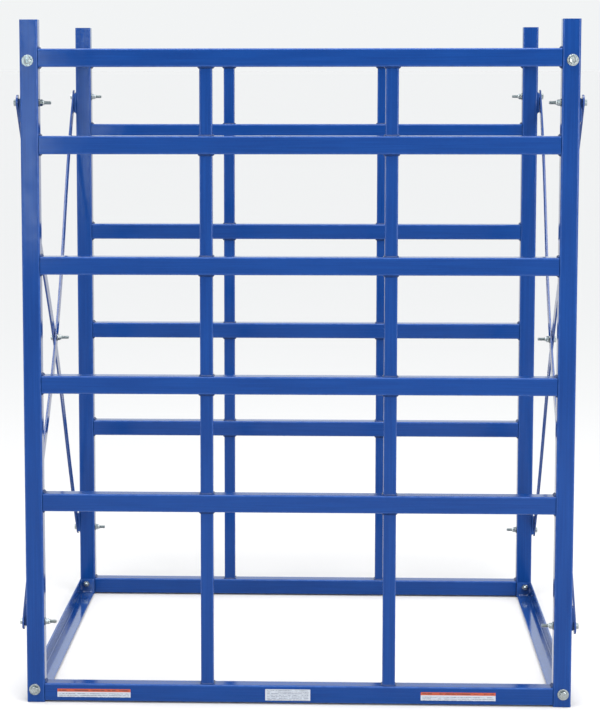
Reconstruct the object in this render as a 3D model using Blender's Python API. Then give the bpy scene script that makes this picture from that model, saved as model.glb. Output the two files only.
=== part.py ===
"""Free-standing bar and lumber storage rack, bolted together from welded parts.

Two identical ladder frames of square tube stand one behind the other.  Each
frame has two posts, six cross beams and two columns of short dividers that
split the five tiers into three bays.  Four angle members with welded end
plates tie the frames together at the corners and a pair of crossing flat bars
braces each side.

Axes: +X right, +Y back, +Z up.  Origin on the floor at the centre of the rack.
Units are metres.
"""
import math

import bmesh
import bpy
from mathutils import Vector

# ------------------------------------------------------------ overall sizes
WIDTH = 1.2192           # over the posts, 48 in
HEIGHT = 1.5240          # post length, 60 in
FRAME_PITCH = 1.0668     # front post centre line to rear post centre line, 42 in
FIT = 0.0003             # air left between two touching pieces

# ------------------------------------------------------------- square tubes
TUBE = 0.0400            # post and beam section
TUBE_RADIUS = 0.0045
TUBE_WALL = 0.0025
DIVIDER = 0.0286         # divider section
DIVIDER_RADIUS = 0.0032
DIVIDER_WALL = 0.0020
BEAM_BOTTOMS = (0.003, 0.436, 0.701, 0.966, 1.231, 1.421)
DIVIDER_X = WIDTH / 6.0  # divider centre lines are a third of the width apart

# ------------------------------------------------------------- side members
ANGLE_LEG = 0.0381
ANGLE_THICK = 0.0032
ANGLE_HEELS = (0.0030, 1.4610)   # level with the bottom and the top beam
END_PLATE = 0.0050
CORNER_BOLT_X = 0.5920
CORNER_BOLT_RISE = 0.0260        # bolt from the angle heel

# ------------------------------------------------------------ cross braces
BRACE_WIDTH = 0.03175
BRACE_THICK = 0.0045
BRACE_BOLT_Z = (0.1810, 1.3430)
BRACE_TAIL = 0.0183      # bar end beyond the bolt centre
BRACE_FLAT = 0.0640      # straight length of bar at each bolt
OUTER_BOW = 0.0082       # how far each bar is drawn in where they cross
PAD_THICK = 0.0050       # spacer pad welded to the post under the brace end
PAD_HEIGHT = 0.0508
PAD_WIDTH = 0.0270
PAD_RISE = 0.0090        # pad end beyond the bolt, towards the post end
PAD_OUTWARD = 0.0080     # pad edge beyond the bolt, away from the rack middle

# --------------------------------------------------------------- fasteners
CORNER_SHANK = 0.00476
CORNER_HEAD_AF = 0.0143
CORNER_HEAD = 0.0064
CORNER_WASHER = (0.0127, 0.0020)
CORNER_NUT = 0.0083
CORNER_LENGTH = 0.0635
BRACE_SHANK = 0.0040
BRACE_HEAD_AF = 0.0130
BRACE_HEAD = 0.0060
BRACE_WASHER = (0.0088, 0.0016)
BRACE_NUT = 0.0095
BRACE_LENGTH = 0.0762
CROSSING_LENGTH = 0.0381
HOLE_SLACK = 0.0006      # hole radius over shank radius
SMOOTH_ANGLE = 50.0      # degrees between facets that still read as one curve

SIDES = (("left", -1), ("right", 1))
FRAMES = (("front", -1), ("rear", 1))
LEVELS = (("lower", -1, 0), ("upper", 1, 1))

for old in list(bpy.data.objects):
    bpy.data.objects.remove(old, do_unlink=True)


# ------------------------------------------------------------------ helpers
def new_collection(name):
    collection = bpy.data.collections.new(name)
    bpy.context.scene.collection.children.link(collection)
    return collection


rack = new_collection("bar_storage_rack")
cutters = new_collection("cutters")


def make_material(name, colour, metallic, roughness):
    material = bpy.data.materials.new(name)
    material.use_nodes = True
    shader = material.node_tree.nodes["Principled BSDF"]
    shader.inputs["Base Color"].default_value = (*colour, 1.0)
    shader.inputs["Metallic"].default_value = metallic
    shader.inputs["Roughness"].default_value = roughness
    return material


BLUE = (0.025, 0.075, 0.330)
FINISHES = {
    "post": (BLUE, 0.0, 0.30),
    "beam": ((0.023, 0.072, 0.320), 0.0, 0.30),
    "divider": ((0.027, 0.080, 0.335), 0.0, 0.30),
    "angle": ((0.022, 0.070, 0.310), 0.0, 0.32),
    "brace": ((0.026, 0.078, 0.325), 0.0, 0.32),
    "zinc": ((0.560, 0.580, 0.590), 1.0, 0.35),
}


def add_part(name, mesh, finish, location=(0, 0, 0), rotation=(0, 0, 0)):
    mesh.name = name
    part = bpy.data.objects.new(name, mesh)
    part.location = location
    part.rotation_euler = rotation
    colour, metallic, roughness = FINISHES[finish]
    part.data.materials.append(make_material(name + "_finish", colour, metallic, roughness))
    rack.objects.link(part)
    return part


def add_cutter(name, mesh, parent):
    mesh.name = name
    cutter = bpy.data.objects.new(name, mesh)
    cutter.parent = parent
    cutter.hide_render = True
    cutter.display_type = "WIRE"
    cutters.objects.link(cutter)
    return cutter


def combine(part, tool, operation):
    modifier = part.modifiers.new(operation.lower() + "_" + tool.name, "BOOLEAN")
    modifier.operation = operation
    modifier.solver = "EXACT"
    modifier.object = tool


def to_mesh(bm):
    """Mesh with rounded edges and shanks shaded smooth, hexagon flats sharp."""
    bmesh.ops.recalc_face_normals(bm, faces=bm.faces)
    mesh = bpy.data.meshes.new("part")
    bm.to_mesh(mesh)
    bm.free()
    mesh.shade_smooth()
    mesh.set_sharp_from_angle(angle=math.radians(SMOOTH_ANGLE))
    return mesh


def rounded_square(size, radius, steps):
    """Corner points of a rounded square, counter-clockwise."""
    inset = size / 2.0 - radius
    points = []
    for corner in range(4):
        start = corner * math.pi / 2.0
        cx = inset if corner in (0, 3) else -inset
        cy = inset if corner in (0, 1) else -inset
        for step in range(steps + 1):
            angle = start + step * (math.pi / 2.0) / steps
            points.append((cx + radius * math.cos(angle), cy + radius * math.sin(angle)))
    return points


def tube_mesh(size, radius, wall, length, steps):
    """Square tube along local Z, centred on the origin."""
    bm = bmesh.new()
    outer = rounded_square(size, radius, steps)
    inner = rounded_square(size - 2.0 * wall, max(radius - wall, 0.0008), steps)
    rings = []
    for outline in (outer, inner):
        for z in (-length / 2.0, length / 2.0):
            rings.append([bm.verts.new((x, y, z)) for x, y in outline])
    outer_low, outer_high, inner_low, inner_high = rings
    count = len(outer)
    for i in range(count):
        j = (i + 1) % count
        bm.faces.new((outer_low[i], outer_low[j], outer_high[j], outer_high[i]))
        bm.faces.new((inner_low[j], inner_low[i], inner_high[i], inner_high[j]))
        bm.faces.new((outer_high[i], outer_high[j], inner_high[j], inner_high[i]))
        bm.faces.new((outer_low[j], outer_low[i], inner_low[i], inner_low[j]))
    return to_mesh(bm)


def add_box(bm, low, high):
    """Axis-aligned box between two corners."""
    centre = (Vector(low) + Vector(high)) / 2.0
    size = Vector(high) - Vector(low)
    made = bmesh.ops.create_cube(bm, size=1.0)["verts"]
    bmesh.ops.scale(bm, vec=size, verts=made)
    bmesh.ops.translate(bm, vec=centre, verts=made)


def add_rod(bm, radius, start, end, segments=16):
    """Closed cylinder between two points."""
    start, end = Vector(start), Vector(end)
    axis = end - start
    made = bmesh.ops.create_cone(bm, cap_ends=True, segments=segments, radius1=radius,
                                 radius2=radius, depth=axis.length)["verts"]
    bmesh.ops.rotate(bm, verts=made, matrix=axis.to_track_quat("Z", "Y").to_matrix())
    bmesh.ops.translate(bm, verts=made, vec=(start + end) / 2.0)


def ring_points(shape, radius):
    """Twelve points of a circle, or of a hexagon given its across-flats half."""
    points = []
    for i in range(12):
        angle = math.radians(30.0 * i)
        reach = radius
        if shape == "hex" and i % 2 == 0:
            reach = radius / math.cos(math.radians(30.0))
        points.append((reach * math.cos(angle), reach * math.sin(angle)))
    return points


def stack_mesh(rings):
    """Coaxial fastener along local Z from (z, shape, radius) rings."""
    bm = bmesh.new()
    loops = []
    for z, shape, radius in rings:
        loops.append([bm.verts.new((x, y, z)) for x, y in ring_points(shape, radius)])
    for low, high in zip(loops, loops[1:]):
        for i in range(12):
            j = (i + 1) % 12
            bm.faces.new((low[i], low[j], high[j], high[i]))
    bm.faces.new(loops[0][::-1])
    bm.faces.new(loops[-1])
    return to_mesh(bm)


def bolt_rings(head_af, head, washer, shank, nut_at, nut_washer, nut, length):
    """Bolt set along +Z: the bearing face is at zero, the head below it."""
    rings = []
    start = 0.0
    if washer:
        start = -washer[1]
    rings += [(start - head, "hex", head_af / 2.0), (start, "hex", head_af / 2.0)]
    if washer:
        rings += [(start, "round", washer[0]), (0.0, "round", washer[0])]
    rings += [(0.0, "round", shank), (nut_at, "round", shank)]
    if nut_washer:
        rings += [(nut_at, "round", nut_washer[0]),
                  (nut_at + nut_washer[1], "round", nut_washer[0])]
        nut_at += nut_washer[1]
    rings += [(nut_at, "hex", head_af / 2.0), (nut_at + nut, "hex", head_af / 2.0),
              (nut_at + nut, "round", shank), (start + length, "round", shank)]
    return rings


# -------------------------------------------------------------------- posts
POST_X = WIDTH / 2.0 - TUBE / 2.0
POST_Y = FRAME_PITCH / 2.0
post_shape = tube_mesh(TUBE, TUBE_RADIUS, TUBE_WALL, HEIGHT, 3)
posts = {}


def post_pads(side, frame):
    """Two spacer pads on the outer face, in the frame of the post."""
    bm = bmesh.new()
    face = side * (TUBE / 2.0 - 0.0005)
    tip = side * (TUBE / 2.0 + PAD_THICK)
    back = frame * PAD_OUTWARD
    fore = back - frame * PAD_WIDTH
    for _, level, index in LEVELS:
        end = BRACE_BOLT_Z[index] - HEIGHT / 2.0 + level * PAD_RISE
        other = end - level * PAD_HEIGHT
        add_box(bm, (min(face, tip), min(back, fore), min(end, other)),
                (max(face, tip), max(back, fore), max(end, other)))
    return to_mesh(bm)


def corner_bolt_z(level, index):
    return ANGLE_HEELS[index] - level * CORNER_BOLT_RISE


def post_holes(side):
    """Brace bolt holes run across the rack, corner bolt holes front to back."""
    bm = bmesh.new()
    reach = TUBE / 2.0 + 0.020
    offset = side * (CORNER_BOLT_X - POST_X)
    for _, level, index in LEVELS:
        z = BRACE_BOLT_Z[index] - HEIGHT / 2.0
        add_rod(bm, BRACE_SHANK + HOLE_SLACK, (-reach, 0.0, z), (reach, 0.0, z))
        z = corner_bolt_z(level, index) - HEIGHT / 2.0
        add_rod(bm, CORNER_SHANK + HOLE_SLACK, (offset, -reach, z), (offset, reach, z))
    return to_mesh(bm)


for frame_name, frame in FRAMES:
    for side_name, side in SIDES:
        name = f"post_{frame_name}_{side_name}"
        post = add_part(name, post_shape.copy(), "post",
                        (side * POST_X, frame * POST_Y, HEIGHT / 2.0))
        combine(post, add_cutter(name + "_pads", post_pads(side, frame), post), "UNION")
        combine(post, add_cutter(name + "_holes", post_holes(side), post), "DIFFERENCE")

# ---------------------------------------------------------- beams, dividers
beam_shape = tube_mesh(TUBE, TUBE_RADIUS, TUBE_WALL, WIDTH - 2.0 * (TUBE + FIT), 2)
for frame_name, frame in FRAMES:
    for level, bottom in enumerate(BEAM_BOTTOMS, start=1):
        add_part(f"beam_{frame_name}_{level}", beam_shape.copy(), "beam",
                 (0.0, frame * POST_Y, bottom + TUBE / 2.0), (0.0, math.pi / 2.0, 0.0))
    for level, (low, high) in enumerate(zip(BEAM_BOTTOMS, BEAM_BOTTOMS[1:]), start=1):
        clear = high - low - TUBE
        for side_name, side in SIDES:
            shape = tube_mesh(DIVIDER, DIVIDER_RADIUS, DIVIDER_WALL, clear - 2.0 * FIT, 2)
            add_part(f"divider_{frame_name}_{side_name}_{level}", shape, "divider",
                     (side * DIVIDER_X, frame * POST_Y, low + TUBE + clear / 2.0))

# -------------------------------------------------- side angles, end plates
PLATE_FACE = POST_Y - TUBE / 2.0 - FIT       # outer face of the end plates


def angle_section(side, level):
    """L outline about the heel corner: one leg upright, one pointing inward."""
    inward, along = -side, -level
    return ((0.0, 0.0), (inward * ANGLE_LEG, 0.0),
            (inward * ANGLE_LEG, along * ANGLE_THICK),
            (inward * ANGLE_THICK, along * ANGLE_THICK),
            (inward * ANGLE_THICK, along * ANGLE_LEG), (0.0, along * ANGLE_LEG))


def angle_mesh(side, level):
    bm = bmesh.new()
    reach = PLATE_FACE - END_PLATE / 2.0
    ends = [[bm.verts.new((x, y, z)) for x, z in angle_section(side, level)]
            for y in (-reach, reach)]
    for i in range(6):
        j = (i + 1) % 6
        bm.faces.new((ends[0][i], ends[0][j], ends[1][j], ends[1][i]))
    bm.faces.new(ends[0])
    bm.faces.new(ends[1])
    return to_mesh(bm)


def plates_mesh(side, level):
    """Square plates closing both ends, a hair inside the legs' outer faces."""
    bm = bmesh.new()
    inset = 0.0004
    x = sorted((-side * inset, -side * (ANGLE_LEG + inset)))
    z = sorted((-level * inset, -level * (ANGLE_LEG + inset)))
    for end in (-1, 1):
        y = sorted((end * PLATE_FACE, end * (PLATE_FACE - END_PLATE)))
        add_box(bm, (x[0], y[0], z[0]), (x[1], y[1], z[1]))
    return to_mesh(bm)


def plate_holes(side, level):
    bm = bmesh.new()
    x = side * (CORNER_BOLT_X - WIDTH / 2.0)
    z = -level * CORNER_BOLT_RISE
    for end in (-1, 1):
        add_rod(bm, CORNER_SHANK + HOLE_SLACK, (x, end * (PLATE_FACE + 0.004), z),
                (x, end * (PLATE_FACE - 0.012), z))
    return to_mesh(bm)


for side_name, side in SIDES:
    for level_name, level, index in LEVELS:
        name = f"side_angle_{level_name}_{side_name}"
        angle = add_part(name, angle_mesh(side, level), "angle",
                         (side * WIDTH / 2.0, 0.0, ANGLE_HEELS[index]))
        combine(angle, add_cutter(name + "_plates", plates_mesh(side, level), angle), "UNION")
        combine(angle, add_cutter(name + "_holes", plate_holes(side, level), angle), "DIFFERENCE")

# ------------------------------------------------------------ cross braces
BRACE_RISE = BRACE_BOLT_Z[1] - BRACE_BOLT_Z[0]
BRACE_HALF = math.hypot(FRAME_PITCH, BRACE_RISE) / 2.0
BRACE_TILT = math.atan2(FRAME_PITCH, BRACE_RISE)
BRACE_MID_Z = sum(BRACE_BOLT_Z) / 2.0
BAR_INNER = WIDTH / 2.0 + PAD_THICK + FIT    # inner face of the bars at the posts
INNER_BOW = OUTER_BOW + BRACE_THICK + FIT


def bow_at(s, bow):
    """Inward offset of a bar at distance s from its middle."""
    reach = BRACE_HALF - BRACE_FLAT
    if abs(s) >= reach:
        return 0.0
    return bow * 0.5 * (1.0 + math.cos(math.pi * s / reach))


def brace_mesh(bow):
    """Flat bar with round ends: local Z along the bar, local X outward."""
    radius = BRACE_WIDTH / 2.0
    arc_at = BRACE_HALF + BRACE_TAIL - radius
    stations = []
    for degrees in (80, 55, 28):
        angle = math.radians(degrees)
        stations.append((arc_at + radius * math.sin(angle), radius * math.cos(angle)))
    stations.append((arc_at, radius))
    reach = BRACE_HALF - BRACE_FLAT
    for i in range(6):
        stations.append((reach * (1.0 - i / 6.0), radius))
    stations = stations + [(0.0, radius)] + [(-s, y) for s, y in reversed(stations)]
    bm = bmesh.new()
    rings = []
    for s, y in stations:
        x = -bow_at(s, bow)
        rings.append([bm.verts.new(p) for p in ((x, -y, s), (x, y, s),
                      (x + BRACE_THICK, y, s), (x + BRACE_THICK, -y, s))])
    for low, high in zip(rings, rings[1:]):
        for i in range(4):
            j = (i + 1) % 4
            bm.faces.new((low[i], low[j], high[j], high[i]))
    bm.faces.new(rings[0])
    bm.faces.new(rings[-1])
    return to_mesh(bm)


def brace_holes(bow, with_middle):
    bm = bmesh.new()
    radius = BRACE_SHANK + HOLE_SLACK
    for s in (-BRACE_HALF, BRACE_HALF):
        add_rod(bm, radius, (-0.010, 0.0, s), (0.015, 0.0, s))
    if with_middle:
        add_rod(bm, radius, (-bow - 0.010, 0.0, 0.0), (-bow + 0.015, 0.0, 0.0))
    return to_mesh(bm)


def crossing_bolt():
    """Bolt set of the crossing, its bearing face at zero and pointing along +Z."""
    rings = bolt_rings(BRACE_HEAD_AF, BRACE_HEAD, None, BRACE_SHANK,
                       2.0 * (BRACE_THICK + FIT), BRACE_WASHER, BRACE_NUT, CROSSING_LENGTH)
    sink = 0.0002        # the head bites this far into the bar
    rings[1] = (sink, "hex", BRACE_HEAD_AF / 2.0)
    rings[2] = (sink, "round", BRACE_SHANK)
    return rings


for side_name, side in SIDES:
    for bar_name, lean, bow in (("outer", 1, OUTER_BOW), ("inner", -1, INNER_BOW)):
        # The outer bar falls from the front to the rear, the inner bar the other way.
        turn = lean * BRACE_TILT
        spin = 0.0 if side > 0 else math.pi
        bar = add_part(f"brace_{side_name}_{bar_name}", brace_mesh(bow), "brace",
                       (side * BAR_INNER, 0.0, BRACE_MID_Z), (side * turn, 0.0, spin))
        if bar_name == "outer":
            bolt = add_cutter(bar.name + "_crossing_bolt", stack_mesh(crossing_bolt()), bar)
            bolt.location = (BRACE_THICK - bow, 0.0, 0.0)
            bolt.rotation_euler = (0.0, -math.pi / 2.0, 0.0)
            combine(bar, bolt, "UNION")
        holes = add_cutter(bar.name + "_holes", brace_holes(bow, bar_name == "inner"), bar)
        combine(bar, holes, "DIFFERENCE")

# --------------------------------------------------------------- fasteners
corner_set = stack_mesh(bolt_rings(CORNER_HEAD_AF, CORNER_HEAD, CORNER_WASHER, CORNER_SHANK,
                                   TUBE + END_PLATE + 3.0 * FIT, None, CORNER_NUT,
                                   CORNER_LENGTH))
brace_set = stack_mesh(bolt_rings(BRACE_HEAD_AF, BRACE_HEAD, None, BRACE_SHANK,
                                  BRACE_THICK + PAD_THICK + TUBE + 3.0 * FIT,
                                  BRACE_WASHER, BRACE_NUT, BRACE_LENGTH))
for frame_name, frame in FRAMES:
    for side_name, side in SIDES:
        for level_name, level, index in LEVELS:
            where = f"{frame_name}_{side_name}_{level_name}"
            add_part("corner_bolt_" + where, corner_set.copy(), "zinc",
                     (side * CORNER_BOLT_X, frame * (POST_Y + TUBE / 2.0 + FIT),
                      corner_bolt_z(level, index)), (frame * math.pi / 2.0, 0.0, 0.0))
            add_part("brace_bolt_" + where, brace_set.copy(), "zinc",
                     (side * (BAR_INNER + BRACE_THICK + FIT), frame * POST_Y,
                      BRACE_BOLT_Z[index]), (0.0, -side * math.pi / 2.0, 0.0))
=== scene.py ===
"""Looks of the bar and lumber storage rack.

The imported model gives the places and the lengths, and the sections below repeat
its values. This script builds the finished surfaces on it: powder-coated tube
with rounded corners, weld beads, threaded fasteners and three plain labels, all
rigid on the one body of the rack.
"""

import math

import bmesh
import bpy
from mathutils import Matrix, Vector


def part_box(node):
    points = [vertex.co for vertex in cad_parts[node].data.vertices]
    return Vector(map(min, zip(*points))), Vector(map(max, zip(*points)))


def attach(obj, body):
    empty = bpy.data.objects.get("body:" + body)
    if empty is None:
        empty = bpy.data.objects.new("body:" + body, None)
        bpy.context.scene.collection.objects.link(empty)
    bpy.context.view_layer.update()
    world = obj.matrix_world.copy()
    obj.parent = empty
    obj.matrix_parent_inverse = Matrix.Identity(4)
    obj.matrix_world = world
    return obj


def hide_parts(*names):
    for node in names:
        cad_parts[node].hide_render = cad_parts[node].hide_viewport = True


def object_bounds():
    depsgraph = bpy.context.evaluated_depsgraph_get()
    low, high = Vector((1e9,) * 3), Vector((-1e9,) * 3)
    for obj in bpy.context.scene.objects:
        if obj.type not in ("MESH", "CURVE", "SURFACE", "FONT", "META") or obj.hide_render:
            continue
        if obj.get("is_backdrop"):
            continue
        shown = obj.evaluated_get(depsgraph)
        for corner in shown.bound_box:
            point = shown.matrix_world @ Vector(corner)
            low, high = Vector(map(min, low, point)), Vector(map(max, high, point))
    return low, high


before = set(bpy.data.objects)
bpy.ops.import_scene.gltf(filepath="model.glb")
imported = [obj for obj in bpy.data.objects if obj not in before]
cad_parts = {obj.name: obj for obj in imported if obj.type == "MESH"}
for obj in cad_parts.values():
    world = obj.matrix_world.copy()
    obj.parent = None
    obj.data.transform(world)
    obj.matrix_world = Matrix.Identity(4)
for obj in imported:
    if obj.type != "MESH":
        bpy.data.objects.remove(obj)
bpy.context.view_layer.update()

SIDES = (("left", -1), ("right", 1))
FRAMES = (("front", -1), ("rear", 1))
LEVELS = (("lower", -1), ("upper", 1))
TIERS = range(1, 6)
BEAMS = range(1, 7)

# Sections, in metres, as the CAD model has them.
TUBE, TUBE_RADIUS, TUBE_WALL = 0.0400, 0.0045, 0.0025
DIVIDER, DIVIDER_RADIUS, DIVIDER_WALL = 0.0286, 0.0032, 0.0020
ANGLE_LEG, ANGLE_THICK, END_PLATE = 0.0381, 0.0032, 0.0050
BAR_WIDTH, BAR_THICK, BAR_TAIL, BAR_FLAT = 0.03175, 0.0045, 0.0183, 0.0640
BAR_BOW = {"outer": 0.0082, "inner": 0.0130}
PAD_THICK, PAD_HEIGHT, PAD_WIDTH, PAD_RISE, PAD_OUTWARD = 0.0050, 0.0508, 0.0270, 0.0090, 0.0080
FIT = 0.0003             # air that the CAD leaves between two touching pieces
SINK = 0.0004            # how far a welded piece reaches into its neighbour
PLATE_INSET = 0.0004     # end plate behind the heel of its angle
PAD_EASE, PLATE_EASE, LABEL_EASE, WELDED_EASE = 0.0009, 0.0008, 0.0002, 0.0002

# Weld beads: leg, first station, spacing of the stations and their count.
PAD_BEAD, ANGLE_BEAD, BEAM_BEAD, FOOT_BEAD, HEAD_BEAD = 0.0030, 0.0032, 0.0042, 0.0028, 0.0040
PAD_BEAD_START, ANGLE_BEAD_START, BEAM_BEAD_START = 0.003, 0.006, 0.0026
BEAD_STEP, BEAM_BEAD_STEP, RING_BEAD_STEP = 0.0012, 0.00116, 0.0013
PAD_BEAD_COUNT, ANGLE_BEAD_COUNT, BEAM_BEAD_COUNT = 18, 25, 31
NEAR_FLOOR = 0.01        # lower than this there is no room for a bead

# Fasteners: a washer is (radius, thickness), the stack is head and washer together.
CORNER_SHANK, CORNER_FLATS, CORNER_STACK, CORNER_NUT = 0.00476, 0.0143, 0.0084, 0.0083
CORNER_WASHER, CORNER_LENGTH, CORNER_PITCH = (0.0127, 0.0020), 0.0635, 0.00159
BRACE_SHANK, BRACE_FLATS, BRACE_HEAD, BRACE_NUT = 0.0040, 0.0130, 0.0060, 0.0095
BRACE_WASHER, BRACE_LENGTH, BRACE_PITCH = (0.0088, 0.0016), 0.0762, 0.00141
CORNER_DISH = (0.0030, -0.0080)      # radius and height of the dish in the head
CROSSING_LENGTH = 0.0381

# Patterns of the paint and of the breakup of its painted corner highlight, in cycles per metre.
DRIFT, SHEEN, HIGHLIGHT_BREAKUP, MOTTLE, STREAKS, PEEL, GRAIN = 5.0, 34.0, 70.0, 210.0, 330.0, 420.0, 1900.0

# Linear colours.
BLUE_DEEP, BLUE_BRIGHT = (0.0030, 0.0290, 0.146), (0.0037, 0.0345, 0.168)
BLUE_MOTTLE, BLUE_STREAK = (0.006, 0.047, 0.205), (0.0075, 0.055, 0.235)
# Lighter blue painted on the rounded corners as a highlight, not a colour of the paint itself.
BLUE_PAINTED_HIGHLIGHT = (0.0280, 0.0850, 0.290)
ZINC_DARK, ZINC_LIGHT, ZINC_WARM = (0.225, 0.265, 0.275), (0.38, 0.415, 0.42), (0.34, 0.34, 0.29)
NYLON_DARK, NYLON_LIGHT = (0.62, 0.64, 0.62), (0.80, 0.81, 0.78)
PAPER_DARK, PAPER_LIGHT, PAPER_INK = (0.36, 0.39, 0.44), (0.44, 0.47, 0.52), (0.13, 0.14, 0.17)
ORANGE, ORANGE_INK, GREY_BAND = (0.400, 0.062, 0.022), (0.06, 0.012, 0.008), (0.60, 0.62, 0.66)


# ---------------------------------------------------------------- materials
def start_material(name):
    material = bpy.data.materials.new(name)
    material.use_nodes = True
    tree = material.node_tree
    return material, tree, tree.nodes["Principled BSDF"]


def rgba(colour, gain=1.0):
    return tuple(channel * gain for channel in colour) + (1.0,)


def add_node(tree, kind, settings=None, **inputs):
    """A node with its settings and its inputs, each a value or another node's socket.

    An input is given by its name, or as i0, i1 and so on by its place.
    """
    made = tree.nodes.new(kind)
    for key, value in (settings or {}).items():
        setattr(made, key, value)
    for key, value in inputs.items():
        socket = made.inputs[int(key[1:])] if key[0] == "i" and key[1:].isdigit() else made.inputs[key]
        if isinstance(value, bpy.types.NodeSocket):
            tree.links.new(value, socket)
        else:
            socket.default_value = value
    return made


def surface_point(tree, shift):
    """Position on the object in metres, shifted so that each finish has its own pattern."""
    place = add_node(tree, "ShaderNodeTexCoord").outputs["Object"]
    return add_node(tree, "ShaderNodeVectorMath", {"operation": "ADD"}, i0=place,
                    i1=(shift, shift * 0.7, shift * 1.3)).outputs[0]


def noise(tree, place, scale, detail=2.0, roughness=0.5):
    """Noise of a scale in cycles per metre."""
    return add_node(tree, "ShaderNodeTexNoise", None, Vector=place, Scale=scale,
                    Detail=detail, Roughness=roughness).outputs["Fac"]


def stretched(tree, place, scale):
    """Place with its axes scaled, so that a pattern stretches where the scale is small."""
    return add_node(tree, "ShaderNodeMapping", None, Vector=place, Scale=scale).outputs[0]


def remap(tree, value, low, high, to_low, to_high):
    return add_node(tree, "ShaderNodeMapRange", None, i0=value, i1=low, i2=high,
                    i3=to_low, i4=to_high).outputs[0]


def mix_colour(tree, factor, first, second):
    """Colour between two others, each a socket or an RGBA value."""
    made = tree.nodes.new("ShaderNodeMix")
    made.data_type = "RGBA"
    for index, value in ((0, factor), (6, first), (7, second)):
        if isinstance(value, bpy.types.NodeSocket):
            tree.links.new(value, made.inputs[index])
        else:
            made.inputs[index].default_value = value
    return made.outputs[2]


def maths(tree, operation, first, second=0.0):
    return add_node(tree, "ShaderNodeMath", {"operation": operation}, i0=first, i1=second).outputs[0]


def bump(tree, heights):
    """Bumps stacked one on the other from (height socket, strength, distance)."""
    normal = None
    for height, strength, distance in heights:
        made = add_node(tree, "ShaderNodeBump", None, Strength=strength, Distance=distance,
                        Height=height)
        if normal is not None:
            tree.links.new(normal, made.inputs["Normal"])
        normal = made.outputs["Normal"]
    return normal


def powder_coat(name, shift, drawn=(1.0, 1.0, 1.0), gain=1.0, gloss=0.0, ior=1.27):
    """Gloss blue powder coat: orange peel, slow drift in tone, drawn streaks, and a painted highlight, a
    lighter blue on the rounded corners.

    Drawn is the scale of the streak pattern, small along the axis of the tube.
    """
    material, tree, shader = start_material(name)
    place = surface_point(tree, shift)
    drift = remap(tree, noise(tree, place, DRIFT, 3.0), 0.3, 0.7, 0.0, 1.0)
    colour = mix_colour(tree, drift, rgba(BLUE_DEEP, gain), rgba(BLUE_BRIGHT, gain))
    mottle = remap(tree, noise(tree, place, MOTTLE, 3.0), 0.35, 0.75, 0.0, 0.16)
    colour = mix_colour(tree, mottle, colour, rgba(BLUE_MOTTLE))
    streaks = noise(tree, stretched(tree, place, drawn), STREAKS, 2.0)
    streaked = remap(tree, streaks, 0.38, 0.68, 0.0, 0.34)
    colour = mix_colour(tree, streaked, colour, rgba(BLUE_STREAK, gain))
    # Painted highlight: where the edge value marks a rounded corner, the blue is painted lighter, broken
    # up by noise.
    edge = add_node(tree, "ShaderNodeAttribute", {"attribute_name": "edge"}).outputs["Fac"]
    broken = remap(tree, noise(tree, place, HIGHLIGHT_BREAKUP, 3.0), 0.30, 0.70, 0.25, 0.75)
    corner = maths(tree, "MULTIPLY", edge, broken)
    colour = mix_colour(tree, corner, colour, rgba(BLUE_PAINTED_HIGHLIGHT, gain))
    tree.links.new(colour, shader.inputs["Base Color"])
    rough = remap(tree, noise(tree, place, SHEEN, 3.0), 0.3, 0.7, 0.09 + gloss, 0.15 + gloss)
    tree.links.new(rough, shader.inputs["Roughness"])
    peel = noise(tree, place, PEEL, 2.0)
    grain = noise(tree, place, GRAIN, 1.0)
    relief = bump(tree, ((streaks, 0.08, 0.0003), (peel, 0.06, 0.0005), (grain, 0.05, 0.0001)))
    tree.links.new(relief, shader.inputs["Normal"])
    shader.inputs["IOR"].default_value = ior
    return material


def zinc_plate(name, shift, dull=0.0):
    """Bright zinc plate: faint cloudy passivation and fine die marks."""
    material, tree, shader = start_material(name)
    place = surface_point(tree, shift)
    cloud = remap(tree, noise(tree, place, 130.0, 3.0), 0.3, 0.7, 0.0, 1.0)
    colour = mix_colour(tree, cloud, rgba(ZINC_DARK), rgba(ZINC_LIGHT))
    warm = remap(tree, noise(tree, place, 55.0, 2.0), 0.52, 0.72, 0.0, 0.35)
    colour = mix_colour(tree, warm, colour, rgba(ZINC_WARM))
    tree.links.new(colour, shader.inputs["Base Color"])
    rough = remap(tree, noise(tree, place, 260.0, 3.0), 0.3, 0.7, 0.20 + dull, 0.32 + dull)
    tree.links.new(rough, shader.inputs["Roughness"])
    relief = bump(tree, ((noise(tree, place, 900.0, 2.0), 0.08, 0.0002),))
    tree.links.new(relief, shader.inputs["Normal"])
    shader.inputs["Metallic"].default_value = 1.0
    return material


def nylon_ring(name):
    """Milky nylon of the lock nuts, with the faint scoring the thread leaves."""
    material, tree, shader = start_material(name)
    place = surface_point(tree, 3.1)
    colour = mix_colour(tree, noise(tree, place, 400.0, 3.0), rgba(NYLON_DARK), rgba(NYLON_LIGHT))
    tree.links.new(colour, shader.inputs["Base Color"])
    relief = bump(tree, ((noise(tree, place, 1500.0, 2.0), 0.2, 0.0002),))
    tree.links.new(relief, shader.inputs["Normal"])
    shader.inputs["Roughness"].default_value = 0.45
    shader.inputs["Subsurface Weight"].default_value = 0.1
    return material


LABEL_MARGIN = 0.004     # blank strip at both ends of a label
BAND_GAP = 0.0012        # blank strip under the coloured band
BAND_DASH = 0.0013       # half height of the dashes on the band


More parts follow.
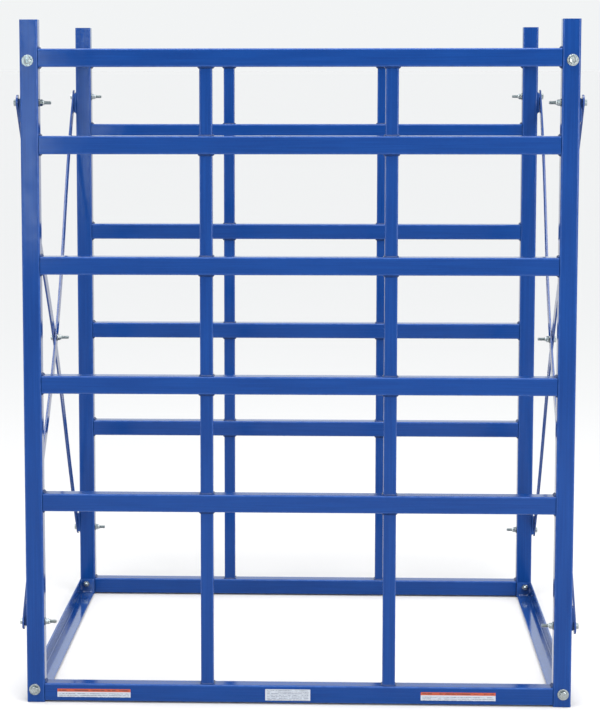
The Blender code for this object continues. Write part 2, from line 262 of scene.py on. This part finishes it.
def label_stock(name, top, band, band_colour, row, left, right):
    """Printed vinyl: a coloured band over a pale panel ruled with broken grey lines."""
    material, tree, shader = start_material(name)
    place = add_node(tree, "ShaderNodeTexCoord").outputs["Object"]
    parts = add_node(tree, "ShaderNodeSeparateXYZ", None, Vector=place)
    across, height = parts.outputs["X"], parts.outputs["Z"]
    down = maths(tree, "SUBTRACT", top, height)
    paper = mix_colour(tree, noise(tree, place, 90.0, 3.0), rgba(PAPER_DARK), rgba(PAPER_LIGHT))

    phase = maths(tree, "FRACT", maths(tree, "DIVIDE", down, row))
    line = maths(tree, "GREATER_THAN", phase, 0.52)
    dash = stretched(tree, place, (1.0, 1.0, 4.0))
    dashes = maths(tree, "GREATER_THAN", noise(tree, dash, 230.0, 1.0), 0.44)
    inside = maths(tree, "MULTIPLY", maths(tree, "GREATER_THAN", across, left + LABEL_MARGIN),
                   maths(tree, "LESS_THAN", across, right - LABEL_MARGIN))
    below = maths(tree, "GREATER_THAN", down, band + BAND_GAP)
    ink = maths(tree, "MULTIPLY", maths(tree, "MULTIPLY", line, dashes),
                maths(tree, "MULTIPLY", inside, below))
    panel = mix_colour(tree, maths(tree, "MULTIPLY", ink, 0.85), paper, rgba(PAPER_INK))

    on_band = maths(tree, "LESS_THAN", down, band)
    printed = mix_colour(tree, noise(tree, place, 300.0, 2.0), rgba(band_colour),
                         rgba(band_colour, 0.85))
    off_centre = maths(tree, "ABSOLUTE", maths(tree, "SUBTRACT", down, band / 2))
    centre = maths(tree, "LESS_THAN", off_centre, BAND_DASH)
    bars = maths(tree, "GREATER_THAN", noise(tree, dash, 95.0, 1.0), 0.47)
    bars = maths(tree, "MULTIPLY", maths(tree, "MULTIPLY", centre, bars), inside)
    printed = mix_colour(tree, maths(tree, "MULTIPLY", bars, 0.8), printed, rgba(ORANGE_INK))

    colour = mix_colour(tree, on_band, panel, printed)
    tree.links.new(colour, shader.inputs["Base Color"])
    relief = bump(tree, ((noise(tree, place, 700.0, 2.0), 0.08, 0.0002),))
    tree.links.new(relief, shader.inputs["Normal"])
    shader.inputs["Roughness"].default_value = 0.38
    return material


ALONG_X, ALONG_Y, ALONG_Z = (0.02, 1.0, 1.0), (1.0, 0.02, 1.0), (1.0, 1.0, 0.02)
POST = powder_coat("post_powder_coat", 0.0, ALONG_Z)
BEAM = powder_coat("beam_powder_coat", 1.7, ALONG_X)
UPRIGHT = powder_coat("divider_powder_coat", 4.1, ALONG_Z)
ANGLE = powder_coat("angle_powder_coat", 6.3, ALONG_Y, gloss=-0.02, ior=1.62)
BAR = powder_coat("brace_powder_coat", 8.9, gain=0.90, ior=1.45)
# The weld beads are painted at about half the brightness of the blue, as painted shade for the dark lines
# at the joints of beams and dividers.
SHADED_WELD = powder_coat("weld_powder_coat_painted_shade", 11.2, gain=0.55, gloss=0.06)
ZINC = zinc_plate("zinc_plate", 2.3)
THREAD = zinc_plate("zinc_thread", 5.9, 0.06)
NYLON = nylon_ring("nylon_insert")


# ------------------------------------------------------------------- meshes
class Shape:
    """A mesh in the making, with an edge value that marks rounded corners, where the powder coat paints a
    highlight.
    """

    def __init__(self):
        self.bm = bmesh.new()
        self.edge = self.bm.verts.layers.float.new("edge")
        self.slot = 0

    def ring(self, points, matrix=None):
        """Vertices from (x, y, z, edge) points."""
        made = []
        for x, y, z, edge in points:
            place = Vector((x, y, z))
            vert = self.bm.verts.new(matrix @ place if matrix else place)
            vert[self.edge] = edge
            made.append(vert)
        return made

    def face(self, verts):
        self.bm.faces.new(verts).material_index = self.slot

    def loft(self, rings, matrix=None, wrap=False):
        """Skin over rings of equal count, capped at both ends or wrapped round to the start."""
        loops = [self.ring(points, matrix) for points in rings]
        pairs = list(zip(loops, loops[1:]))
        if wrap:
            pairs.append((loops[-1], loops[0]))
        for low, high in pairs:
            for i in range(len(low)):
                j = (i + 1) % len(low)
                self.face((low[i], low[j], high[j], high[i]))
        if not wrap:
            self.face(loops[0][::-1])
            self.face(loops[-1])

    def box(self, low, high, ease):
        """Box with eased edges, which count as partly rounded corners and so take part of the painted
        highlight.
        """
        centre, size = (Vector(low) + Vector(high)) / 2, Vector(high) - Vector(low)
        made = bmesh.ops.create_cube(self.bm, size=1.0)["verts"]
        bmesh.ops.scale(self.bm, vec=size, verts=made)
        bmesh.ops.translate(self.bm, vec=centre, verts=made)
        edges = {e for v in made for e in v.link_edges}
        made = bmesh.ops.bevel(self.bm, geom=list(edges), offset=ease, segments=2, profile=0.6,
                               affect="EDGES")
        for face in made["faces"]:
            face.material_index = self.slot
            for vert in face.verts:
                vert[self.edge] = 0.6

    def piece(self, name, materials, replaces=(), sharp=32.0):
        """Finished object riding on the rack; edges over the sharp angle stay hard."""
        bmesh.ops.recalc_face_normals(self.bm, faces=self.bm.faces)
        mesh = bpy.data.meshes.new(name)
        self.bm.to_mesh(mesh)
        self.bm.free()
        mesh.shade_smooth()
        mesh.set_sharp_from_angle(angle=math.radians(sharp))
        for material in materials:
            mesh.materials.append(material)
        made = bpy.data.objects.new(name, mesh)
        bpy.context.scene.collection.objects.link(made)
        even = made.modifiers.new("even_normals", "WEIGHTED_NORMAL")
        even.keep_sharp = True
        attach(made, "root")
        if replaces:
            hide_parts(*replaces)
        return made


def corner_outline(size, radius, steps):
    """Rounded square as (x, y, edge) points, counter-clockwise."""
    inset = size / 2 - radius
    points = []
    for corner in range(4):
        cx = inset if corner in (0, 3) else -inset
        cy = inset if corner in (0, 1) else -inset
        for step in range(steps + 1):
            angle = (corner + step / steps) * math.pi / 2
            points.append((cx + radius * math.cos(angle), cy + radius * math.sin(angle),
                           math.sin(math.pi * step / steps)))
    return points


def add_tube(shape, size, radius, wall, length, matrix, ease=0.0005):
    """Square tube along local Z with deburred ends."""
    half = length / 2
    bore, bore_radius = size - 2 * wall, max(radius - wall, 0.0008)
    plan = ((size, radius, -half + ease), (size, radius, half - ease),
            (size - 2 * ease, radius - ease, half), (bore + ease, bore_radius, half),
            (bore, bore_radius, half - ease), (bore, bore_radius, -half + ease),
            (bore + ease, bore_radius, -half), (size - 2 * ease, radius - ease, -half))
    rings = []
    for width, corner, z in plan:
        rings.append([(x, y, z, edge) for x, y, edge in corner_outline(width, corner, 8)])
    shape.loft(rings, matrix, wrap=True)


RIPPLE, WAVE, SWAY = 0.00052, 0.0019, 0.0061     # wavelengths of a bead over two pi


def bead(shape, path, leg, closed=False, shift=0.0):
    """Fillet weld along (corner point, first leg, second leg) stations, rippled and full."""
    travel, places = 0.0, []
    for i, (point, _, _) in enumerate(path):
        travel += (point - path[i - 1][0]).length if i else 0.0
        places.append(travel)
    rings = []
    for place, (point, first, second) in zip(places, path):
        swell = 1.0 + 0.07 * math.sin(place / RIPPLE + shift)
        swell += 0.07 * math.sin(place / WAVE + 2.3 * shift) + 0.04 * math.sin(place / SWAY + shift)
        if not closed:
            end = min(place, travel - place)
            swell *= math.sqrt(min(1.0, 0.10 + end / leg))
        ring = [point - (first + second) * SINK]
        for part in (0.0, 0.2, 0.4, 0.6, 0.8, 1.0):
            full = 1.0 + 0.24 * math.sin(math.pi * part)
            ring.append(point + (first * (1 - part) + second * part) * leg * swell * full)
        rings.append([(*p, 0.0) for p in ring])
    shape.loft(rings, wrap=closed)


# --------------------------------------------------------- places from CAD
def middle(node):
    low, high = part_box(node)
    return (low + high) / 2


def post_centre(frame_name, side):
    """Centre line and ends of a post: its inner face is free of pads."""
    name = "left" if side < 0 else "right"
    low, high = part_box(f"post_{frame_name}_{name}")
    inner = high.x if side < 0 else low.x
    return inner + side * TUBE / 2, (low.y + high.y) / 2, low.z, high.z


# ------------------------------------------------------------------- posts
def add_pad(shape, x, y, bolt_z, side, face, level):
    """Spacer pad behind the end of a brace, with a bead over it and one under it."""
    wall = x + side * (TUBE / 2 - SINK)
    tip = x + side * (TUBE / 2 + PAD_THICK)
    back = y + face * PAD_OUTWARD
    fore = back - face * PAD_WIDTH
    end = bolt_z + level * PAD_RISE
    other = end - level * PAD_HEIGHT
    shape.box((min(wall, tip), min(back, fore), min(end, other)),
              (max(wall, tip), max(back, fore), max(end, other)), PAD_EASE)
    outward = Vector((side, 0, 0))
    for z, upward in ((max(end, other), 1), (min(end, other), -1)):
        stations = [(Vector((x + side * TUBE / 2, min(back, fore) + PAD_BEAD_START + BEAD_STEP * i, z)),
                     Vector((0, 0, upward)), outward) for i in range(PAD_BEAD_COUNT)]
        bead(shape, stations, PAD_BEAD, shift=z * 9.0)


for frame_name, face in FRAMES:
    for side_name, side in SIDES:
        node = f"post_{frame_name}_{side_name}"
        x, y, low, high = post_centre(frame_name, side)
        shape = Shape()
        add_tube(shape, TUBE, TUBE_RADIUS, TUBE_WALL, high - low,
                 Matrix.Translation((x, y, (low + high) / 2)))
        for level_name, level in LEVELS:
            bolt = middle(f"brace_bolt_{frame_name}_{side_name}_{level_name}")
            add_pad(shape, x, y, bolt.z, side, face, level)
        shape.piece(node + "_tube", (POST,), (node,))

# ------------------------------------------------------------ beams, dividers
for frame_name, _ in FRAMES:
    for level in BEAMS:
        node = f"beam_{frame_name}_{level}"
        low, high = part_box(node)
        shape = Shape()
        turn = Matrix.Translation((low + high) / 2) @ Matrix.Rotation(math.pi / 2, 4, "Y")
        add_tube(shape, TUBE, TUBE_RADIUS, TUBE_WALL, high.x - low.x, turn, WELDED_EASE)
        shape.piece(node + "_tube", (BEAM,), (node,))
    for side_name, _ in SIDES:
        for tier in TIERS:
            node = f"divider_{frame_name}_{side_name}_{tier}"
            low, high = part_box(node)
            shape = Shape()
            add_tube(shape, DIVIDER, DIVIDER_RADIUS, DIVIDER_WALL, high.z - low.z,
                     Matrix.Translation((low + high) / 2), WELDED_EASE)
            shape.piece(node + "_tube", (UPRIGHT,), (node,))


# -------------------------------------------------------------------- welds
def ring_stations(centre, size, radius, z, upward):
    """Stations round the foot of a square tube that stands on a rounded beam."""
    outline = corner_outline(size, radius, 5)
    dense = []
    for i, (ax, ay, _) in enumerate(outline):
        bx, by, _ = outline[(i + 1) % len(outline)]
        parts = max(1, round(math.hypot(bx - ax, by - ay) / RING_BEAD_STEP))
        dense += [(ax + (bx - ax) * k / parts, ay + (by - ay) * k / parts) for k in range(parts)]
    inset = size / 2 - radius
    stations = []
    for px, py in dense:
        nx, ny = px - max(-inset, min(inset, px)), py - max(-inset, min(inset, py))
        out = Vector((nx, ny, 0)).normalized()
        out.z = -0.34 * upward * abs(out.y)      # follows the rounded corner of the beam
        stations.append((Vector((centre.x + px, centre.y + py, z)), out, Vector((0, 0, upward))))
    return stations


for frame_name, _ in FRAMES:
    for tier in TIERS:
        shape = Shape()
        for side_name, side in SIDES:
            low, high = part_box(f"divider_{frame_name}_{side_name}_{tier}")
            centre = (low + high) / 2
            for z, upward, leg in ((low.z - FIT, 1, FOOT_BEAD), (high.z + FIT, -1, HEAD_BEAD)):
                stations = ring_stations(centre, DIVIDER, DIVIDER_RADIUS, z, upward)
                bead(shape, stations, leg, closed=True, shift=tier + side * 1.3 + upward)
        shape.piece(f"divider_welds_{frame_name}_{tier}", (SHADED_WELD,), sharp=60.0)
    for level in BEAMS:
        low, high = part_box(f"beam_{frame_name}_{level}")
        shape = Shape()
        for side, x in ((-1, low.x - FIT), (1, high.x + FIT)):
            for z, upward in ((high.z, 1), (low.z, -1)):
                if z < NEAR_FLOOR:
                    continue
                stations = [(Vector((x, low.y + BEAM_BEAD_START + BEAM_BEAD_STEP * i, z)),
                             Vector((-side, 0, 0)), Vector((0, 0, upward)))
                            for i in range(BEAM_BEAD_COUNT)]
                bead(shape, stations, BEAM_BEAD, shift=level + side + upward)
        shape.piece(f"beam_welds_{frame_name}_{level}", (SHADED_WELD,), sharp=60.0)


# ------------------------------------------------------------- side angles
def quarter(steps):
    """Angles from nothing to a right angle."""
    return [math.pi / 2 * step / steps for step in range(steps + 1)]


def angle_outline(side, level):
    """Rolled angle about its heel corner, with a root fillet and rounded toes."""
    root, toe, heel = 0.0035, 0.0018, 0.0004
    leg, thick = ANGLE_LEG, ANGLE_THICK
    points = [(heel, 0.0, 0.6), (leg, 0.0, 0.6)]
    for turn in quarter(4):
        points.append((leg - toe + toe * math.cos(turn), thick - toe + toe * math.sin(turn), 0.8))
    for turn in quarter(5):
        points.append((thick + root - root * math.sin(turn), thick + root - root * math.cos(turn), 0.0))
    for turn in quarter(4):
        points.append((thick - toe + toe * math.cos(turn), leg - toe + toe * math.sin(turn), 0.8))
    points += [(0.0, leg, 0.6), (0.0, heel, 0.6)]
    return [(-side * a, -level * b, edge) for a, b, edge in points]


def add_end_plate(shape, heel_x, heel_z, y, inward, side, level):
    """Plate on one end of an angle, with a bead inside each of its legs."""
    reach_x = sorted((heel_x - side * PLATE_INSET, heel_x - side * (ANGLE_LEG + PLATE_INSET)))
    reach_z = sorted((heel_z - level * PLATE_INSET, heel_z - level * (ANGLE_LEG + PLATE_INSET)))
    face_y = y + inward * END_PLATE
    span = sorted((y, face_y))
    shape.box((reach_x[0], span[0], reach_z[0]), (reach_x[1], span[1], reach_z[1]), PLATE_EASE)
    along = Vector((0, inward, 0))
    reaches = [ANGLE_BEAD_START + BEAD_STEP * i for i in range(ANGLE_BEAD_COUNT)]
    flat = [(Vector((heel_x - side * reach, face_y, heel_z - level * ANGLE_THICK)),
             Vector((0, 0, -level)), along) for reach in reaches]
    upright = [(Vector((heel_x - side * ANGLE_THICK, face_y, heel_z - level * reach)),
                Vector((-side, 0, 0)), along) for reach in reaches]
    bead(shape, flat, ANGLE_BEAD, shift=side + level)
    bead(shape, upright, ANGLE_BEAD, shift=side - level)


for side_name, side in SIDES:
    for level_name, level in LEVELS:
        node = f"side_angle_{level_name}_{side_name}"
        low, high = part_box(node)
        heel_x = high.x if side > 0 else low.x
        heel_z = high.z if level > 0 else low.z
        shape = Shape()
        outline = angle_outline(side, level)
        rings = []
        for y in (low.y + END_PLATE / 2, high.y - END_PLATE / 2):
            rings.append([(heel_x + a, y, heel_z + b, edge) for a, b, edge in outline])
        shape.loft(rings)
        for y, inward in ((low.y, 1), (high.y, -1)):
            add_end_plate(shape, heel_x, heel_z, y, inward, side, level)
        shape.piece(node + "_member", (ANGLE,), (node,))


# ------------------------------------------------------------ cross braces
BAR_EASE = 0.0011
TIP_TURNS = (87, 80, 70, 60, 50, 40, 30, 20, 10, 0)      # degrees round the rounded tip of a bar
BOW_STEPS = 24


def bar_ring(width, x, s):
    """Section of the flat bar with eased edges, local X through its thickness."""
    ease = min(BAR_EASE, width * 0.4)
    points = []
    for cx, cy, start in ((BAR_THICK - ease, width - ease, 0), (ease, width - ease, 1),
                          (ease, -width + ease, 2), (BAR_THICK - ease, -width + ease, 3)):
        for step in range(4):
            angle = (start + step / 3) * math.pi / 2
            points.append((x + cx + ease * math.cos(angle), cy + ease * math.sin(angle), s,
                           0.8 * math.sin(math.pi * step / 3)))
    return points


def bar_rings(half, bow):
    """Sections from tip to tip, flat at the bolts and drawn in by the bow at the crossing."""
    radius = BAR_WIDTH / 2
    arc_at = half + BAR_TAIL - radius
    stations = [(arc_at + radius * math.sin(math.radians(d)), radius * math.cos(math.radians(d)))
                for d in TIP_TURNS]
    reach = half - BAR_FLAT
    stations += [(reach * (1 - i / BOW_STEPS), radius) for i in range(BOW_STEPS + 1)]
    stations += [(-s, w) for s, w in reversed(stations[:-1])]
    rings = []
    for s, width in stations:
        drawn = bow * 0.5 * (1 + math.cos(math.pi * s / reach)) if abs(s) < reach else 0.0
        rings.append(bar_ring(width, -drawn, s))
    return rings


crossings = {}
for side_name, side in SIDES:
    front_top = middle(f"brace_bolt_front_{side_name}_upper")
    rear_low = middle(f"brace_bolt_rear_{side_name}_lower")
    span_y, span_z = rear_low.y - front_top.y, front_top.z - rear_low.z
    half = math.hypot(span_y, span_z) / 2
    low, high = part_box(f"brace_{side_name}_inner")
    inner_face = high.x - BAR_THICK if side > 0 else low.x + BAR_THICK
    centre = Vector((inner_face, 0.0, (front_top.z + rear_low.z) / 2))
    spin = 0.0 if side > 0 else math.pi
    for bar_name, lean in (("outer", 1), ("inner", -1)):
        node = f"brace_{side_name}_{bar_name}"
        tilt = side * lean * math.atan2(span_y, span_z)
        place = (Matrix.Translation(centre) @ Matrix.Rotation(spin, 4, "Z")
                 @ Matrix.Rotation(tilt, 4, "X"))
        shape = Shape()
        shape.loft(bar_rings(half, BAR_BOW[bar_name]), place)
        shape.piece(node + "_bar", (BAR,), (node,))
    crossings[side_name] = Vector((inner_face + side * (BAR_THICK - BAR_BOW["outer"]), 0.0, centre.z))


# --------------------------------------------------------------- fasteners
AROUND = 48              # points round a turned piece
CROWN = 0.955            # radius of the turned face of a hexagon, over that of its flats
CUT = 0.42               # fall of the turned cut across the corners of a hexagon
TURN_STEPS = 8           # rings to one turn of a thread
POINT = 0.0010           # plain end of a threaded shank
THREAD_INSIDE = 0.002    # how far a thread starts inside the grip


def hexagon(flats):
    """Radius of a hexagon at each of the angles round it."""
    def radius(angle):
        return flats / 2 / math.cos(math.radians(math.degrees(angle) % 60 - 30))
    return radius


def turned(shape, rings, matrix, slot=0, wrap=False):
    """Skin of revolution, where a radius or a height may depend on the angle."""
    shape.slot = slot
    built = []
    for radius, height in rings:
        ring = []
        for i in range(AROUND):
            angle = 2 * math.pi * i / AROUND
            r = radius(angle) if callable(radius) else radius
            z = height(angle) if callable(height) else height
            ring.append((r * math.cos(angle), r * math.sin(angle), z, 0.0))
        built.append(ring)
    shape.loft(built, matrix, wrap)
    shape.slot = 0


def chamfered(flats, start, end, bore=None):
    """Hexagon between two heights whose corners are turned off at both faces."""
    hexed, crown = hexagon(flats), CROWN * flats / 2
    direction = 1 if end > start else -1

    def cut(face, sense):
        return lambda angle: face - sense * direction * (hexed(angle) - crown) * CUT
    rings = [(crown, start), (hexed, cut(start, -1)), (hexed, cut(end, 1)), (crown, end)]
    if bore is None:
        return rings
    lead = 0.0006        # chamfer of the bore
    return rings + [(bore + lead, end), (bore, end - direction * lead), (bore, start)]


def disc(radius, low, high):
    ease = 0.0003
    return [(radius - ease, low), (radius, low + ease), (radius, high - ease), (radius - ease, high)]


def thread(radius, start, end, pitch):
    """Threaded shank with a chamfered point."""
    depth = 0.54 * pitch
    steps = max(8, int((end - start - POINT) / pitch * TURN_STEPS))
    rings = [(radius * 0.6, start)]
    for k in range(steps + 1):
        z = start + (end - start - POINT) * k / steps

        def reach(angle, z=z):
            phase = (z / pitch - angle / (2 * math.pi)) % 1.0
            return radius - depth * (1.0 - abs(2.0 * phase - 1.0))
        rings.append((reach, z))
    rings += [(radius - depth - 0.0002, end - 0.0003), (radius - depth - 0.0006, end)]
    return rings


def lock_nut(flats, base, height, bore):
    """Nylon-insert lock nut: hexagon, rolled collar, and the ring it holds."""
    hexed, crown, collar = hexagon(flats), CROWN * flats / 2, 0.86 * flats / 2
    top, lip = base + 0.66 * height, base + height       # of the hexagon, and of the collar
    steel = [(crown, base), (hexed, lambda a: base + (hexed(a) - crown) * CUT),
             (hexed, lambda a: top - (hexed(a) - collar) * CUT), (collar, top)]
    for turn in quarter(6)[1:]:
        steel.append((collar - 0.0014 * (1 - math.cos(turn)),
                      top + (0.34 * height) * math.sin(turn)))
    steel += [(bore + 0.0010, lip), (bore + 0.0009, lip - 0.0009), (bore, base)]
    inner, outer = bore - 0.0001, bore + 0.0013
    ring = [(inner, lip - 0.0030), (outer, lip - 0.0030), (outer, lip - 0.0006), (inner, lip - 0.0005)]
    return steel, ring


def aimed(point, direction, spin):
    """Matrix that puts local Z along a direction, turned about it."""
    turn = Vector(direction).to_track_quat("Z", "Y").to_matrix().to_4x4()
    return Matrix.Translation(point) @ turn @ Matrix.Rotation(math.radians(spin), 4, "Z")


def corner_bolt(node, face, spin):
    """Hex bolt with a dished head and a washer under it, and a plain nut inside."""
    low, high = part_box(node)
    centre = (low + high) / 2
    washer_radius, washer = CORNER_WASHER
    bearing_y = low.y + CORNER_STACK if face < 0 else high.y - CORNER_STACK
    bearing = Vector((centre.x, bearing_y, centre.z))
    place = aimed(bearing, (0, -face, 0), spin)
    grip = TUBE + END_PLATE + 3 * FIT
    shape = Shape()
    turned(shape, disc(washer_radius, -washer, 0.0), place)
    turned(shape, [CORNER_DISH] + chamfered(CORNER_FLATS, -CORNER_STACK, -washer), place)
    turned(shape, chamfered(CORNER_FLATS, grip, grip + CORNER_NUT, CORNER_SHANK), place, wrap=True)
    turned(shape, thread(CORNER_SHANK, grip - THREAD_INSIDE, CORNER_LENGTH - washer, CORNER_PITCH),
           place, slot=1)
    shape.piece(node + "_set", (ZINC, THREAD), (node,), sharp=28.0)


def lock_bolt(name, place, grip, length, replaces):
    """Hex bolt with a washer and a lock nut on the far side."""
    washer_radius, washer = BRACE_WASHER
    shape = Shape()
    turned(shape, chamfered(BRACE_FLATS, -BRACE_HEAD, 0.0), place)
    turned(shape, disc(washer_radius, grip, grip + washer), place)
    steel, ring = lock_nut(BRACE_FLATS, grip + washer, BRACE_NUT, BRACE_SHANK)
    turned(shape, steel, place, wrap=True)
    turned(shape, ring, place, slot=2, wrap=True)
    turned(shape, thread(BRACE_SHANK, grip - THREAD_INSIDE, length, BRACE_PITCH), place, slot=1)
    shape.piece(name, (ZINC, THREAD, NYLON), replaces, sharp=28.0)


turn_by = 7.0            # degrees; each joint is left turned a little differently
for frame_name, face in FRAMES:
    for side_name, side in SIDES:
        for level_name, _ in LEVELS:
            where = f"{frame_name}_{side_name}_{level_name}"
            turn_by = (turn_by * 1.7 + 13.0) % 60.0
            corner_bolt("corner_bolt_" + where, face, turn_by)
            node = "brace_bolt_" + where
            low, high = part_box(node)
            centre = (low + high) / 2
            head = high.x - BRACE_HEAD if side > 0 else low.x + BRACE_HEAD
            place = aimed((head, centre.y, centre.z), (-side, 0, 0), turn_by + 21)
            lock_bolt(node + "_set", place, BAR_THICK + PAD_THICK + TUBE + 3 * FIT, BRACE_LENGTH,
                      (node,))
for side_name, side in SIDES:
    place = aimed(crossings[side_name], (-side, 0, 0), 17 + 20 * side)
    lock_bolt(f"crossing_bolt_{side_name}_set", place, 2 * (BAR_THICK + FIT), CROSSING_LENGTH, ())


# ------------------------------------------------------------------- labels
# Name, left and right end, height, height of the band, its colour, spacing of the ruled rows.
LABELS = (("left", -0.541, -0.376, 0.019, 0.0068, ORANGE, 0.0040),
          ("right", 0.275, 0.442, 0.019, 0.0068, ORANGE, 0.0040),
          ("middle", -0.073, 0.028, 0.026, 0.0, GREY_BAND, 0.0036))
LABEL_DROP = 0.0012                              # below the middle of the beam
LABEL_PROUD, LABEL_DEEP = 0.0003, 0.0002         # before and behind the face of the beam
low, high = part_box("beam_front_1")
for label_name, left, right, tall, band, band_colour, row in LABELS:
    mid = (low.z + high.z) / 2 - LABEL_DROP
    shape = Shape()
    shape.box((left, low.y - LABEL_PROUD, mid - tall / 2),
              (right, low.y + LABEL_DEEP, mid + tall / 2), LABEL_EASE)
    finish = label_stock(f"label_{label_name}_print", mid + tall / 2, band, band_colour, row, left, right)
    shape.piece(f"label_{label_name}", (finish,))

# -------------------------------------------------------------------- stage
FLOOR_RADIUS, FLOOR_DROP = 900.0, 0.0002
FLOOR_COLOUR = (0.600, 0.578, 0.572)
BACKDROP = (0.890, 0.905, 0.910)                 # what the camera sees of the room
ROOM_FRONT, ROOM_BEHIND, ROOM_ABOVE = (0.30, 0.33, 0.34), (1.00, 1.07, 1.09), (1.72, 1.80, 1.83)

floor_mesh = bpy.data.meshes.new("floor")
bm = bmesh.new()
bmesh.ops.create_circle(bm, cap_ends=True, segments=96, radius=FLOOR_RADIUS)
bm.to_mesh(floor_mesh)
bm.free()
floor = bpy.data.objects.new("floor", floor_mesh)
floor.location = (0.0, 0.0, -FLOOR_DROP)
bpy.context.scene.collection.objects.link(floor)
floor_paint, _, floor_shader = start_material("floor_paint")
floor_shader.inputs["Base Color"].default_value = rgba(FLOOR_COLOUR)
floor_shader.inputs["Roughness"].default_value = 0.9
floor_shader.inputs["Specular IOR Level"].default_value = 0.1
floor_mesh.materials.append(floor_paint)
floor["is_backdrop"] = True

world = bpy.data.worlds.new("studio")
bpy.context.scene.world = world
world.use_nodes = True
tree = world.node_tree
tree.nodes.clear()
ray = add_node(tree, "ShaderNodeTexCoord").outputs["Generated"]
axes = add_node(tree, "ShaderNodeSeparateXYZ", None, Vector=ray)
behind = remap(tree, axes.outputs["Y"], 0.25, 0.65, 0.0, 1.0)
room = mix_colour(tree, behind, rgba(ROOM_FRONT), rgba(ROOM_BEHIND))
above = remap(tree, axes.outputs["Z"], 0.35, 0.60, 0.0, 1.0)
room = mix_colour(tree, above, room, rgba(ROOM_ABOVE))
seen = add_node(tree, "ShaderNodeLightPath").outputs["Is Camera Ray"]
room = mix_colour(tree, seen, room, rgba(BACKDROP))
shade = add_node(tree, "ShaderNodeBackground", None, Color=room, Strength=1.0)
add_node(tree, "ShaderNodeOutputWorld", None, Surface=shade.outputs[0])

WHITE, COOL = (1.0, 1.0, 1.0), (0.76, 0.92, 1.0)
# Name, place, aim, width, height, brightness and tint.
SOFTBOXES = (("key_right", (2.9, -4.2, 1.62), (0.3, -0.5, 1.3), 3.0, 1.9, 8.5, WHITE),
             ("key_left", (-3.1, -4.2, 1.62), (-0.3, -0.5, 1.3), 2.4, 1.9, 4.2, WHITE),
             ("strip_left", (-0.925, -3.0, 1.24), (-0.60, -0.5, 1.24), 0.076, 0.80, 12.5, COOL),
             ("overhead", (0, -0.7, 3.6), (0, -0.7, 0), 2.4, 1.5, 7.5, WHITE),
             ("side_left", (-3.2, 0.2, 1.3), (0, 0.2, 1.3), 1.8, 3.0, 0.35, WHITE),
             ("side_right", (3.2, 0.2, 1.3), (0, 0.2, 1.3), 1.8, 3.0, 0.40, WHITE))
for name, place, aim, width, height, glow, tint in SOFTBOXES:
    light = bpy.data.lights.new(name, "AREA")
    light.shape, light.size, light.size_y = "RECTANGLE", width, height
    light.energy = glow * math.pi * width * height
    light.color = tint
    box = bpy.data.objects.new(name, light)
    box.location = place
    box.rotation_euler = (Vector(aim) - Vector(place)).to_track_quat("-Z", "Y").to_euler()
    box.visible_camera = False
    bpy.context.scene.collection.objects.link(box)

# ------------------------------------------------------------------- camera
CAMERA_PLACE = (0.08718, -5.54028, 1.41890)
PAN, PITCH, ROLL = 2.2935, -6.6792, 0.0510       # degrees
lens = bpy.data.cameras.new("camera")
lens.sensor_width = 36.0
lens.lens = 113.28
lens.shift_x, lens.shift_y = 0.0727, -0.0380
lens.clip_end = 2000.0
camera = bpy.data.objects.new("camera", lens)
turn = (Matrix.Rotation(math.radians(PAN), 4, "Z") @ Matrix.Rotation(math.radians(PITCH), 4, "X")
        @ Matrix.Rotation(math.radians(ROLL), 4, "Y") @ Matrix.Rotation(math.pi / 2, 4, "X"))
camera.matrix_world = Matrix.Translation(CAMERA_PLACE) @ turn
bpy.context.scene.collection.objects.link(camera)
bpy.context.scene.camera = camera
bpy.context.scene.view_settings.view_transform = "Standard"

low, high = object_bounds()
